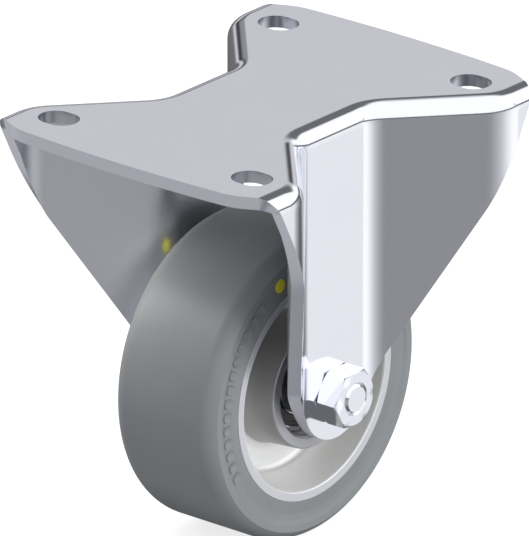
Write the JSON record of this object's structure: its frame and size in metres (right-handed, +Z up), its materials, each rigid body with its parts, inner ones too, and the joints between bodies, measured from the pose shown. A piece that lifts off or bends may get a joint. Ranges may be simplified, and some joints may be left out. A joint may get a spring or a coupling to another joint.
{
  "type": "fixed caster",
  "caption": "Fixed caster: a pressed-steel bracket with a slotted top plate, a bolted axle and a rubber-tyred wheel on ball bearings.",
  "frame": {"origin": "centre of the top plate's upper face, in the middle of its slots", "axes": "+Z up, out of the plate; X along the axle, with the nut on +X; Y is the rolling direction"},
  "size_m": [0.1126, 0.1384, 0.14],
  "materials": {
    "zinc_plated_steel": "bright zinc plate, smooth and glossy",
    "bearing_steel": "ground",
    "cast_aluminium": "die-cast and turned",
    "tyre_rubber": "matt grey rubber",
    "seal_rubber": "moulded",
    "cage_plastic": "moulded",
    "marker_paint": "matt yellow"
  },
  "bodies": {
    "bracket": {"bracket": "zinc_plated_steel", "axle_bolt": "zinc_plated_steel", "axle_nut": "zinc_plated_steel", "axle_tube": "zinc_plated_steel", "bearing_spacer": "zinc_plated_steel", "right_side_spacer": "zinc_plated_steel", "left_side_spacer": "zinc_plated_steel", "right_bearing_inner_ring": "bearing_steel", "left_bearing_inner_ring": "bearing_steel"},
    "wheel": {"wheel_centre": "cast_aluminium", "tyre": "tyre_rubber", "right_bearing_outer_ring": "bearing_steel", "right_bearing_outer_seal": "seal_rubber", "right_bearing_inner_seal": "seal_rubber", "right_marker_dot": "marker_paint", "left_bearing_outer_ring": "bearing_steel", "left_bearing_outer_seal": "seal_rubber", "left_bearing_inner_seal": "seal_rubber", "left_marker_dot": "marker_paint"},
    "right_cage": {"right_bearing_cage": "cage_plastic", "right_bearing_balls": "bearing_steel"},
    "left_cage": {"left_bearing_cage": "cage_plastic", "left_bearing_balls": "bearing_steel"}
  },
  "joints": [
    {"name": "wheel_spin", "type": "hinge", "parent": "bracket", "child": "wheel", "pos_m": [0, 0, -0.09], "axis": [1, 0, 0], "continuous": true},
    {"name": "right_cage_spin", "type": "hinge", "parent": "bracket", "child": "right_cage", "pos_m": [0.01, 0, -0.09], "axis": [1, 0, 0], "continuous": true},
    {"name": "left_cage_spin", "type": "hinge", "parent": "bracket", "child": "left_cage", "pos_m": [-0.01, 0, -0.09], "axis": [1, 0, 0], "continuous": true}
  ],
  "couplings": [
    {"joint": "right_cage_spin", "follows": "wheel_spin", "ratio": 0.60132},
    {"joint": "left_cage_spin", "follows": "wheel_spin", "ratio": 0.60132}
  ]
}
